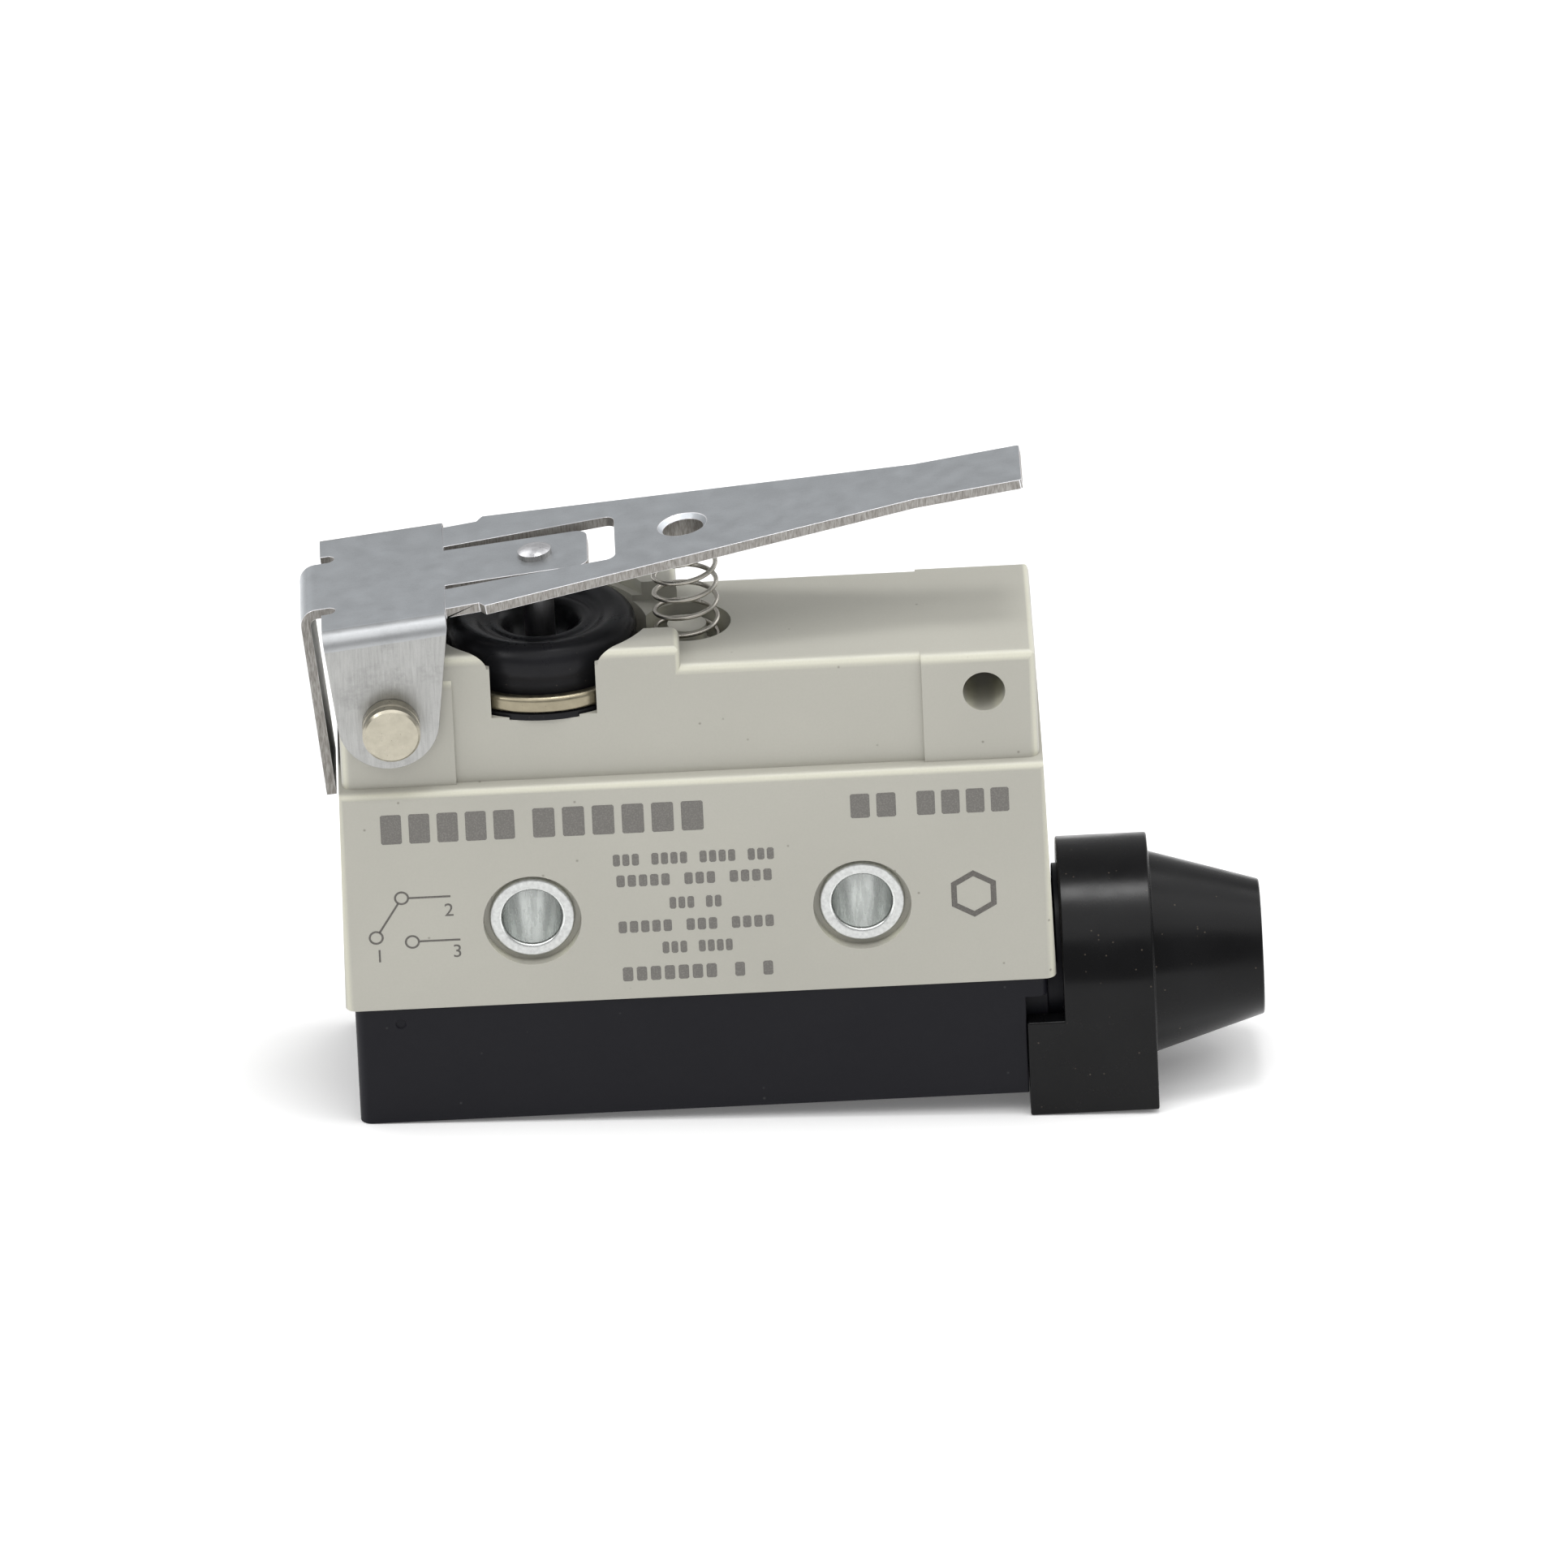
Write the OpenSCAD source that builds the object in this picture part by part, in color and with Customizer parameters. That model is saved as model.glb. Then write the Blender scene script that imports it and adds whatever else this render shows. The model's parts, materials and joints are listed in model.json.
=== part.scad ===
// Compact enclosed limit switch with a hinge lever, a sealed plunger and a cable cap.
// +X runs along the case towards the cable cap, +Y towards the rear mounting face, +Z up.
// The origin is the centre of the two mounting holes, at half the case's depth.

/* [Case] */
// Distance between the two mounting holes
hole_pitch = 25.4; // [25.2:0.1:25.6]
// Length of the lower part of the case, at its parting line
case_length = 54.8; // [54.6:0.1:55.0]
// Length of the lower part of the case, at its ledge
ledge_length = 54.1; // [53.9:0.1:54.4]
// Depth of the lower part of the case
case_depth = 18.5; // [18.4:0.1:18.8]
// Height of the parting line, from the mounting-hole axis
case_bottom = -7.1; // [-7.2:0.1:-7.0]
// Height of the ledge under the narrow upper part
ledge_height = 11.4; // [11.2:0.1:11.6]
// Height of the top face
case_top = 20.4; // [20.3:0.1:20.6]
// Length of the upper part
upper_length = 53.6; // [53.4:0.1:53.8]
// Depth of the two end bosses of the upper part
boss_depth = 16.3; // [16.2:0.1:16.3]
// Depth of the upper part between its bosses
waist_depth = 15.6; // [15.4:0.1:15.8]
// Distance from the middle to the inner side of each boss
boss_start = 18.0; // [17.6:0.1:18.4]
// Height of the ribs beside the plunger pocket
rib_top = 22.0; // [21.8:0.1:22.2]
// Height of the bottom of the notches in the pocket's wall
notch_bottom = 16.75; // [16.7:0.05:16.9]
// Width of the notches in the pocket's wall
notch_width = 8.1; // [7.8:0.1:8.4]

/* [Pivots and plunger] */
// Distance of each pivot hole from the middle of the case
pivot_x = 22.75; // [22.6:0.05:22.9]
// Height of the pivot holes
pivot_z = 17.2; // [17.1:0.1:17.3]
// Diameter of the hinge pin
pin_diameter = 3.2; // [3.0:0.05:3.2]
// Position of the plunger's axis along the case
plunger_x = -11; // [-11.1:0.1:-10.9]
// Diameter of the plunger
plunger_diameter = 2.3; // [2.2:0.05:2.3]
// Radius of the plunger pocket
pocket_radius = 8.25; // [8.2:0.05:8.4]

/* [Lever] */
// Thickness of the lever's sheet
sheet = 0.8; // [0.7:0.05:0.8]
// Height of the lever's top face above the pivot
lever_rise = 8.2; // [8.15:0.05:8.3]
// Slope of the lever's base at rest, in degrees
lever_slope = 6.4; // [6.4:0.1:6.6]
// Further slope of the lever's arm, in degrees
arm_slope = 2.1; // [1.9:0.1:2.6]
// Length of the arm beyond its bend
arm_length = 45.0; // [40:0.5:48]
// Width of the arm at its tip
tip_width = 6.2; // [5:0.2:7]

/* [Return spring] */
// Outer diameter of the spring
spring_diameter = 5.2; // [5.2:0.05:5.4]
// Diameter of its wire
spring_wire = 0.36; // [0.3:0.02:0.36]
// Number of turns
spring_turns = 7.5; // [6:0.5:9]

/* [Lower case and cable cap] */
// Height of the lower case's bottom face
cover_bottom = -17.0; // [-17.2:0.1:-16.9]
// Height of the cable axis
cable_axis = -9.8; // [-9.9:0.1:-9.7]
// Outer radius of the cap's arch
cap_radius = 9.25; // [9.1:0.05:9.3]
// Height of the cap's bottom face
cap_bottom = -18.9; // [-19.2:0.1:-18.8]
// Position of the cap's flat end
cap_end = 34.95; // [34.75:0.1:35.15]
// Position of the nose's tip
nose_end = 43.5; // [42.5:0.25:44]
// Diameter of the cable hole
cable_hole = 7.0; // [6:0.5:8]

/* [Hidden] */
$fn = 64;
beige = [0.78, 0.77, 0.71];
black = [0.09, 0.09, 0.11];
rubber = [0.06, 0.06, 0.06];
steel = [0.66, 0.68, 0.70];
nickel = [0.80, 0.77, 0.70];
brass = [0.80, 0.66, 0.36];
silver = [0.85, 0.86, 0.88];
phenolic = [0.45, 0.28, 0.16];

eps = 0.01;
bushing_x = hole_pitch / 2;
case_wall = 1.65;
cavity_half_length = 25.3;
lower_cavity_half = case_depth / 2 - case_wall;
lower_cavity_top = ledge_height - 1.5;
upper_cavity_half = 6.4;
upper_cavity_top = 14.8;
column_radius = 4.6;
pillar_half = 3.3;

bushing_bore = 2.3;
bushing_tube = 2.8;
bushing_flange = 3.3;
recess_radius = 3.78;
recess_floor = case_depth / 2 - 1.0;
flange_thickness = 0.5;

pocket_floor = 16.5;
rib_recess_radius = 8.9;
rib_recess_floor = 20.9;
rib_half_length = 10.6;
rib_inner = 4.1;
spring_x = 0.25;
spring_pocket = 3.4;
spring_floor = 17.4;
spring_boss = 1.5;
pin_hole = pin_diameter / 2 + 0.03;

ear_inner = boss_depth / 2 + 0.1;
ear_outer = ear_inner + sheet;
ear_left = -4.08;
ear_right = 5.5;
ear_radius = 3.9;
ear_centre = [ear_left + ear_radius, 0.2];
fold_radius = 1.35;
bend_s = 5.55;
leaf_s = -5.85;
leaf_low = -7.6;
leaf_half = 4.0;
leaf_splay = 1.3;
tongue_half = 3.1;
tongue_end = 16.66;
slot_half = 3.75;
window_end = 13.3;
arm_hole_u = 18.6;
arm_hole_radius = 1.58;
collar_radius = 1.95;
rivet_s = 12.6;
rivet_head = 1.3;
rivet_low = 6.85;

plunger_radius = plunger_diameter / 2;
plunger_top = 25.35;
plunger_low = 12.4;
foot_low = 11.6;
foot_top = 13.2;
foot_radius = 1.9;
ring_low = 17.0;
ring_high = 18.35;
ring_outer = pocket_radius - 0.15;
boot_wall_outer = 7.05;

blade_low = 9.05;
blade_sheet = 0.25;
blade_hinge_x = -18.6;
blade_end = 8.4;
contact_x = 6.5;
moving_contact_radius = 1.2;
nc_strip_low = 10.5;
no_strip_low = 6.2;
strip = 0.6;
carrier_low = 4.9;
carrier_half = 24.5;
post_low = -4.6;
lead_sheet = 0.8;
lead_half = 2.0;
pad_low = -5.5;
terminal_x = 21.3;
terminal_screw_radius = 1.45;

cover_half_length = 26.7;
cover_depth = case_depth - 0.6;
cover_wall = 1.85;
cover_floor = cover_bottom + 1.5;
gasket_low = -7.7;
tab_start = 25.0;
tab_top = -10.9;
tab_inner = 7.5;
hook_low = -15.5;
cover_step = -8.8;
cap_start = 27.9;
neck_radius = 7.2;
neck_start = 27.5;
neck_end = 33.0;
nose_radius_big = 7.8;
nose_radius_small = 5.2;
cover_screw_radius = 1.45;

// ---- shared shapes ----

// Box between two opposite corners
module block(low, high) {
    translate(low) cube(high - low);
}

// Cylinder along X, Y or Z between two positions on that axis
module rod_x(y, z, r, x0, x1) {
    translate([x0, y, z]) rotate([0, 90, 0]) cylinder(r = r, h = x1 - x0);
}
module rod_y(x, z, r, y0, y1) {
    translate([x, y0, z]) rotate([-90, 0, 0]) cylinder(r = r, h = y1 - y0);
}
module rod_z(x, y, r, z0, z1) {
    translate([x, y, z0]) cylinder(r = r, h = z1 - z0);
}

// Rectangle with four round corners, centred
module rounded_rect(w, d, r) {
    square([w - 2 * r, d], center = true);
    square([w, d - 2 * r], center = true);
    for (sx = [-1, 1], sy = [-1, 1])
        translate([sx * (w / 2 - r), sy * (d / 2 - r)]) circle(r = r);
}

// Rectangle from low to high whose two upper corners are round
module round_top_rect(w, low, high, r) {
    translate([-w / 2, low]) square([w, high - low - r]);
    translate([-w / 2 + r, low]) square([w - 2 * r, high - low]);
    for (side = [-1, 1])
        translate([side * (w / 2 - r), high - r]) circle(r = r);
}

// An outline in Y and Z, swept along X
module along_x(x0, x1) {
    translate([x0, 0, 0]) rotate([90, 0, 90]) linear_extrude(x1 - x0) children();
}

// An outline in X and Z, swept along Y
module along_y(y0, y1) {
    translate([0, y1, 0]) rotate([90, 0, 0]) linear_extrude(y1 - y0) children();
}

// Block with round upright edges and round upper edges
module soft_block(length, depth, low, high, corner_r, edge_r, end_r) {
    intersection() {
        translate([0, 0, low]) linear_extrude(high - low) rounded_rect(length, depth, corner_r);
        along_x(-length / 2, length / 2) round_top_rect(depth, low, high, edge_r);
        along_y(-depth / 2, depth / 2) round_top_rect(length, low, high, end_r);
    }
}

// Places its children in the lever's own frame: pivot at the origin, X along the base
module in_lever_frame() {
    translate([-pivot_x, 0, pivot_z]) rotate([0, -lever_slope, 0]) children();
}

// ---- case ----

// Lower part, with its ends drafted inwards towards the ledge
module lower_case() {
    intersection() {
        translate([0, 0, case_bottom])
            linear_extrude(ledge_height - case_bottom) rounded_rect(case_length, case_depth, 0.9);
        along_x(-case_length / 2, case_length / 2)
            round_top_rect(case_depth, case_bottom, ledge_height, 0.8);
        along_y(-case_depth / 2, case_depth / 2)
            polygon([[-case_length / 2, case_bottom], [case_length / 2, case_bottom],
                [ledge_length / 2, ledge_height], [-ledge_length / 2, ledge_height]]);
    }
}

module upper_case() {
    difference() {
        soft_block(upper_length, boss_depth, ledge_height - 2, case_top, 0.9, 1.1, 0.8);
        block([-boss_start, -boss_depth, ledge_height - 3], [boss_start, boss_depth, case_top + 1]);
    }
    along_x(-boss_start - eps, boss_start + eps)
        round_top_rect(waist_depth, ledge_height - 2, case_top, 1.1);
}

// Raised ribs on the front and rear edge, scooped out round the boot
module pocket_ribs() {
    difference() {
        intersection() {
            along_y(-waist_depth / 2, waist_depth / 2)
                translate([plunger_x, 0]) round_top_rect(2 * rib_half_length, case_top - 1.5, rib_top, 0.8);
            along_x(plunger_x - rib_half_length, plunger_x + rib_half_length)
                round_top_rect(waist_depth, case_top - 1.5, rib_top, 1.0);
            translate([plunger_x, 0, case_top - 2]) linear_extrude(rib_top)
                rounded_rect(2 * rib_half_length, waist_depth, 0.7);
        }
        block([-30, -rib_inner, case_top - 2], [30, rib_inner, rib_top + 1]);
        rod_z(plunger_x, 0, rib_recess_radius, rib_recess_floor, rib_top + 1);
    }
}

module pocket_notches() {
    block([plunger_x - notch_width / 2, -case_depth / 2, notch_bottom],
        [plunger_x + notch_width / 2, case_depth / 2, rib_top + 1]);
}

module mounting_columns() {
    for (side = [-1, 1]) {
        rod_y(side * bushing_x, 0, column_radius, -lower_cavity_half - eps, lower_cavity_half + eps);
        block([side * bushing_x - pillar_half, -lower_cavity_half - eps, case_bottom],
            [side * bushing_x + pillar_half, lower_cavity_half + eps, 0]);
    }
}

module housing() {
    color(beige) difference() {
        union() {
            difference() {
                union() {
                    lower_case();
                    upper_case();
                    pocket_ribs();
                }
                block([-cavity_half_length, -lower_cavity_half, case_bottom - 1],
                    [cavity_half_length, lower_cavity_half, lower_cavity_top]);
                block([-cavity_half_length, -upper_cavity_half, lower_cavity_top - 1],
                    [cavity_half_length, upper_cavity_half, upper_cavity_top]);
            }
            mounting_columns();
        }
        for (side = [-1, 1]) {
            rod_y(side * bushing_x, 0, bushing_tube + 0.02, -case_depth, case_depth);
            rod_y(side * bushing_x, 0, recess_radius, recess_floor, case_depth);
            rod_y(side * bushing_x, 0, recess_radius, -case_depth, -recess_floor);
            rod_y(side * pivot_x, pivot_z, pin_hole, -case_depth, case_depth);
            rod_z(side * bushing_x, 0, cover_screw_radius, case_bottom - 1, -3.5);
        }
        rod_z(plunger_x, 0, pocket_radius, pocket_floor, rib_top + 1);
        pocket_notches();
        rod_z(plunger_x, 0, 2.22, upper_cavity_top - 1, pocket_floor + 1);
        difference() {
            rod_z(spring_x, 0, spring_pocket, spring_floor, rib_top);
            rod_z(spring_x, 0, spring_boss, spring_floor - 1, case_top - 0.1);
        }
    }
}

module terminal_cover() {
    color(black) difference() {
        union() {
            translate([0, 0, cover_bottom])
                linear_extrude(case_bottom - cover_bottom)
                    rounded_rect(2 * cover_half_length, cover_depth, 0.9);
            difference() {
                rod_x(0, cable_axis, neck_radius, tab_start, neck_end);
                block([tab_start - 1, -10, case_bottom], [neck_start, 10, 10]);
            }
        }
        // room for the cap's hook round the end
        difference() {
            block([tab_start - 0.05, -10, cover_bottom - 1], [neck_start + 0.4, 10, cover_step]);
            block([tab_start - 1, -tab_inner, hook_low], [neck_start + 1, tab_inner, cover_step + 1]);
        }
        difference() {
            block([-cover_half_length + 1.6, -cover_depth / 2 + cover_wall, cover_floor],
                [tab_start - 1.4, cover_depth / 2 - cover_wall, case_bottom + 1]);
            for (side = [-1, 1])
                rod_z(side * bushing_x, 0, 3.9, cover_bottom, case_bottom);
        }
        for (side = [-1, 1]) {
            rod_z(side * bushing_x, 0, 1.6, cover_bottom - 1, case_bottom + 1);
            rod_z(side * bushing_x, 0, 2.9, cover_bottom - 1, cover_bottom + 2.8);
        }
        rod_x(0, cable_axis, 4.2, tab_start - 3, neck_end + 1);
        gasket_frame(gasket_low, case_bottom + 1);
        // ejector mark on the front wall
        rod_y(-23.2, -8.5, 0.4, -cover_depth, -cover_depth / 2 + 0.15);
    }
}

module gasket_frame(low, high) {
    translate([0, 0, low]) linear_extrude(high - low) difference() {
        rounded_rect(51.9, 16.2, 0.8);
        rounded_rect(50.8, 15.1, 0.6);
    }
}

module housing_gasket() {
    color(rubber) gasket_frame(gasket_low, case_bottom);
}

module cable_cap() {
    color(rubber) difference() {
        union() {
            along_x(cap_start, cap_end) intersection() {
                union() {
                    translate([0, cable_axis]) circle(r = cap_radius);
                    translate([-cap_radius, cap_bottom]) square([2 * cap_radius, cable_axis - cap_bottom]);
                }
                translate([-cap_radius, cap_bottom]) square(3 * cap_radius);
            }
            block([tab_start, -cap_radius, cap_bottom], [cap_start + eps, cap_radius, tab_top]);
            translate([cap_end - eps, 0, cable_axis]) rotate([0, 90, 0])
                cylinder(r1 = nose_radius_big, r2 = nose_radius_small, h = nose_end - cap_end + eps);
        }
        rod_x(0, cable_axis, neck_radius + 0.05, neck_start, neck_end + 0.1);
        block([tab_start - 1, -tab_inner - 0.05, hook_low - 0.05], [cap_start, tab_inner + 0.05, tab_top + 1]);
        rod_x(0, cable_axis, cable_hole / 2, neck_end - 1, nose_end + 1);
    }
}

// Half outline of a bushing end, turned round the hole's axis
module bushing_rim() {
    rim_r = 0.2;
    lip_r = 0.3;
    face = recess_floor + flange_thickness;
    translate([bushing_bore, 0]) square([bushing_tube - bushing_bore, face - lip_r]);
    translate([bushing_bore + lip_r, recess_floor])
        square([bushing_flange - rim_r - bushing_bore - lip_r, flange_thickness]);
    translate([bushing_bore + lip_r, recess_floor])
        square([bushing_flange - bushing_bore - lip_r, flange_thickness - rim_r]);
    translate([bushing_bore + lip_r, face - lip_r]) circle(r = lip_r);
    translate([bushing_flange - rim_r, face - rim_r]) circle(r = rim_r);
}

module mounting_bushings() {
    color(silver) for (side = [-1, 1], turn = [-90, 90])
        translate([side * bushing_x, 0, 0]) rotate([turn, 0, 0]) rotate_extrude() bushing_rim();
}

// ---- lever and its pin ----

// Point where a line from p touches a circle, on its clockwise side
function touch_point(centre, r, p) =
    let (away = p - centre, aim = atan2(away[1], away[0]), turn = acos(r / norm(away)))
    centre + r * [cos(aim - turn), sin(aim - turn)];

module ear_outline() {
    top = lever_rise + 1;
    shoulder = [ear_right, lever_rise - sheet];
    translate(ear_centre) circle(r = ear_radius);
    polygon([ear_centre, [ear_left, ear_centre[1]], [ear_left, top], [ear_right, top], shoulder,
        touch_point(ear_centre, ear_radius, shoulder)]);
}

module lever_channel() {
    intersection() {
        along_x(ear_left, ear_right) difference() {
            round_top_rect(2 * ear_outer, -5, lever_rise, fold_radius);
            round_top_rect(2 * ear_inner, -6, lever_rise - sheet, fold_radius - sheet);
        }
        along_y(-ear_outer - 1, ear_outer + 1) ear_outline();
    }
}

// Folded-down leaf that stops the lever against the end of the case
module lever_leaf() {
    fold = [leaf_s + fold_radius, lever_rise - fold_radius];
    along_y(-leaf_half, leaf_half) {
        translate([fold[0], lever_rise - sheet]) square([ear_left - fold[0] + 0.5, sheet]);
        intersection() {
            translate(fold) difference() {
                circle(r = fold_radius);
                circle(r = fold_radius - sheet);
            }
            translate(fold) polygon([[0, 0], [0, 2], [-2, 2], [-2 * cos(leaf_splay), 2 * sin(leaf_splay)]]);
        }
        translate(fold) rotate(-leaf_splay)
            translate([-fold_radius, leaf_low - fold[1]]) square([sheet, fold[1] - leaf_low]);
    }
}

module arm_outline() {
    step = 2.6;
    root_half = 7.2;
    wide_half = 7.9;
    taper_end = arm_length - 8.4;
    tip_cut = 0.15;
    window_corner = 0.8;
    difference() {
        for (side = [-1, 1])
            scale([1, side]) polygon([[-0.3, -eps], [-0.3, root_half], [step, root_half],
                [step + 0.45, wide_half], [taper_end, tip_width / 2], [arm_length - tip_cut, tip_width / 2],
                [arm_length, tip_width / 2 - tip_cut], [arm_length, -eps]]);
        translate([0, -slot_half]) square([window_end - window_corner, 2 * slot_half]);
        translate([0, -slot_half + window_corner])
            square([window_end, 2 * (slot_half - window_corner)]);
        for (side = [-1, 1])
            translate([window_end - window_corner, side * (slot_half - window_corner)])
                circle(r = window_corner);
    }
}

module lever_arm() {
    translate([bend_s, 0, lever_rise]) rotate([0, -arm_slope, 0]) difference() {
        union() {
            translate([0, 0, -sheet]) linear_extrude(sheet) arm_outline();
            rod_z(arm_hole_u, 0, collar_radius, -sheet - 0.9, -0.2);
        }
        rod_z(arm_hole_u, 0, arm_hole_radius, -3, 1);
        translate([arm_hole_u, 0, -0.35])
            cylinder(r1 = arm_hole_radius, r2 = arm_hole_radius + 0.4, h = 0.4);
    }
}

module lever_tongue() {
    corner = 1.0;
    difference() {
        translate([0, 0, lever_rise - sheet]) linear_extrude(sheet) {
            translate([ear_right - 0.3, -tongue_half]) square([tongue_end - corner - ear_right + 0.3, 2 * tongue_half]);
            translate([ear_right, -tongue_half + corner]) square([tongue_end - ear_right, 2 * (tongue_half - corner)]);
            for (side = [-1, 1])
                translate([tongue_end - corner, side * (tongue_half - corner)]) circle(r = corner);
        }
        rod_z(rivet_s, 0, 0.8, 0, 20);
    }
}

// Relief notches at both ends of the leaf's bend
module leaf_notches() {
    notch_r = 0.55;
    for (side = [-1, 1]) {
        middle = side * (leaf_half + notch_r);
        rod_z(ear_left + notch_r, middle, notch_r, lever_rise - 1.2, lever_rise + 1);
        block([ear_left - 1, middle - notch_r, lever_rise - 1.2],
            [ear_left + notch_r, middle + notch_r, lever_rise + 1]);
    }
}

module lever() {
    color(steel) in_lever_frame() difference() {
        union() {
            lever_channel();
            lever_leaf();
            lever_arm();
            lever_tongue();
        }
        rod_y(0, 0, pin_diameter / 2 + 0.05, -20, 20);
        leaf_notches();
    }
}

module lever_rivet() {
    head_side = 0.42;
    dome_height = 0.36;
    dome_radius = (rivet_head * rivet_head + dome_height * dome_height) / (2 * dome_height);
    color(nickel) in_lever_frame() translate([rivet_s, 0, 0]) {
        rod_z(0, 0, 0.78, rivet_low, lever_rise + 0.3);
        rod_z(0, 0, rivet_head, rivet_low, lever_rise - sheet);
        rod_z(0, 0, rivet_head, lever_rise, lever_rise + head_side);
        translate([0, 0, lever_rise + head_side - eps]) rotate_extrude() intersection() {
            translate([0, dome_height - dome_radius]) circle(r = dome_radius);
            square([rivet_head, dome_height + 1]);
        }
    }
}

module pivot_pin() {
    shank = pin_diameter / 2;
    head = 2.22;
    seat = ear_outer + 0.05;
    tail = case_depth / 2 - 0.05;
    tip = seat + 2.0;
    color(nickel) translate([-pivot_x, 0, pivot_z]) rotate([90, 0, 0]) rotate_extrude()
        polygon([[0, -tail], [shank - 0.15, -tail], [shank, -tail + 0.15], [shank, seat], [head, seat],
            [head, seat + 0.85], [head - 0.2, seat + 0.95], [head - 0.2, seat + 1.05],
            [head, seat + 1.15], [head, tip - 0.18], [head - 0.18, tip], [0, tip]]);
}

// ---- return spring ----

function coil_ring(f, turns, r, wire_r, low, high, sides) =
    let (a = 360 * turns * f, z = low + (high - low) * f)
    [for (j = [0:sides - 1]) let (b = 360 * j / sides, out = r + wire_r * cos(b))
        [out * cos(a), out * sin(a), z + wire_r * sin(b)]];

module coil(turns, r, wire_r, low, high) {
    sides = 8;
    rings = ceil(turns * 20);
    points = [for (i = [0:rings]) each coil_ring(i / rings, turns, r, wire_r, low, high, sides)];
    walls = [for (i = [0:rings - 1], j = [0:sides - 1])
        let (a = i * sides + j, b = i * sides + (j + 1) % sides) each
        [[a, b, b + sides], [a, b + sides, a + sides]]];
    first = [[for (j = [sides - 1:-1:0]) j]];
    last = [[for (j = [0:sides - 1]) rings * sides + j]];
    polyhedron(points, concat(walls, first, last));
}

module return_spring() {
    wire_r = spring_wire / 2;
    color(steel) translate([spring_x, 0, 0])
        coil(spring_turns, spring_diameter / 2 - wire_r, wire_r, spring_floor + wire_r + 0.02, 27.2);
}

// ---- plunger and boot ----

module plunger_stem() {
    color(steel) translate([plunger_x, 0, 0]) rotate_extrude()
        polygon([[0, plunger_low], [plunger_radius, plunger_low], [plunger_radius, plunger_top - 0.3],
            [plunger_radius - 0.3, plunger_top], [0, plunger_top]]);
}

module plunger_foot() {
    color(phenolic) difference() {
        rod_z(plunger_x, 0, foot_radius, foot_low, foot_top);
        rod_z(plunger_x, 0, plunger_radius, plunger_low, foot_top + 1);
    }
}

// Bellows section: skirt, outer roll, web, inner roll and a funnel down to the plunger
module boot_section() {
    outer_roll = [5.8, 20.5];
    inner_roll = [3.7, 20.85];
    translate(outer_roll) circle(r = 1.5);
    translate(inner_roll) circle(r = 0.75);
    polygon([[6.2, 16.6], [boot_wall_outer, 16.6], [boot_wall_outer, 20.2], [6.2, 20.2]]);
    polygon([[1.25, 18.6], [2.0, 18.6], [2.5, 19.5], [4.1, 20.0], [5.4, 19.8], [5.4, 20.7], [3.6, 21.1],
        [1.9, 20.1], [1.25, 19.6]]);
}

module plunger_boot() {
    color(rubber) translate([plunger_x, 0, 0]) rotate_extrude() boot_section();
}

module boot_retainer_ring() {
    inner = boot_wall_outer + 0.05;
    color(nickel) translate([plunger_x, 0, 0]) rotate_extrude()
        translate([(inner + ring_outer) / 2, (ring_low + ring_high) / 2])
            rounded_rect(ring_outer - inner, ring_high - ring_low, 0.4);
}

module boot_gasket() {
    color(rubber) difference() {
        rod_z(plunger_x, 0, ring_outer, pocket_floor, ring_low);
        rod_z(plunger_x, 0, boot_wall_outer + 0.05, pocket_floor - 1, ring_low + 1);
    }
}

module guide_bush() {
    color(brass) difference() {
        union() {
            rod_z(plunger_x, 0, 2.2, 13.6, 17.4);
            rod_z(plunger_x, 0, 3.2, pocket_floor, pocket_floor + 0.5);
        }
        rod_z(plunger_x, 0, plunger_radius + 0.04, 10, 20);
    }
}

// ---- contacts ----

// Positions of the three terminal screws: common, normally open, normally closed
screw_x = [-terminal_x + 0.3, 0.3, terminal_x - 0.3];

module contact_carrier() {
    color(phenolic) difference() {
        union() {
            block([-carrier_half, -6.2, carrier_low], [carrier_half, 6.2, carrier_low + 1.3]);
            for (middle = [-terminal_x, 0, terminal_x])
                block([middle - 3.2, -4.5, post_low], [middle + 3.2, 4.5, carrier_low + eps]);
        }
        for (x = screw_x)
            rod_z(x, 0, terminal_screw_radius + 0.3, post_low - 1, post_low + 2);
        lead_slot(-terminal_x - 3.0);
        lead_slot(-3.0);
        lead_slot(terminal_x + 3.0 - lead_sheet);
    }
}

module lead_slot(x) {
    block([x - 0.25, -lead_half - 0.05, post_low - 1], [x + lead_sheet + 0.05, lead_half + 0.05, 8]);
}

// Upright lead with a tapped screw pad at its foot and a contact strip at its head
module terminal(middle, lead_x, screw, strip_low, strip_from, strip_to) {
    difference() {
        union() {
            block([middle - 3.0, -3.4, pad_low], [middle + 3.0, 3.4, pad_low + lead_sheet]);
            block([lead_x, -lead_half, pad_low], [lead_x + lead_sheet, lead_half, strip_low + strip]);
            block([strip_from, -lead_half, strip_low], [strip_to, lead_half, strip_low + strip]);
        }
        rod_z(screw, 0, terminal_screw_radius, pad_low - 1, pad_low + 1);
    }
}

module common_terminal() {
    lead_x = -terminal_x - 3.0;
    color(brass) difference() {
        terminal(-terminal_x, lead_x, screw_x[0], blade_low - 0.05 - strip, lead_x, -18.1);
        rod_y(blade_hinge_x, blade_low, 0.31, -3, 3);
    }
}

module normally_open_terminal() {
    color(brass) terminal(0, -3.0, screw_x[1], no_strip_low, -3.0, contact_x + 1.8);
}

module normally_closed_terminal() {
    lead_x = terminal_x + 3.0 - lead_sheet;
    color(brass) terminal(terminal_x, lead_x, screw_x[2], nc_strip_low, contact_x - 1.8, lead_x + lead_sheet);
}

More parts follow.
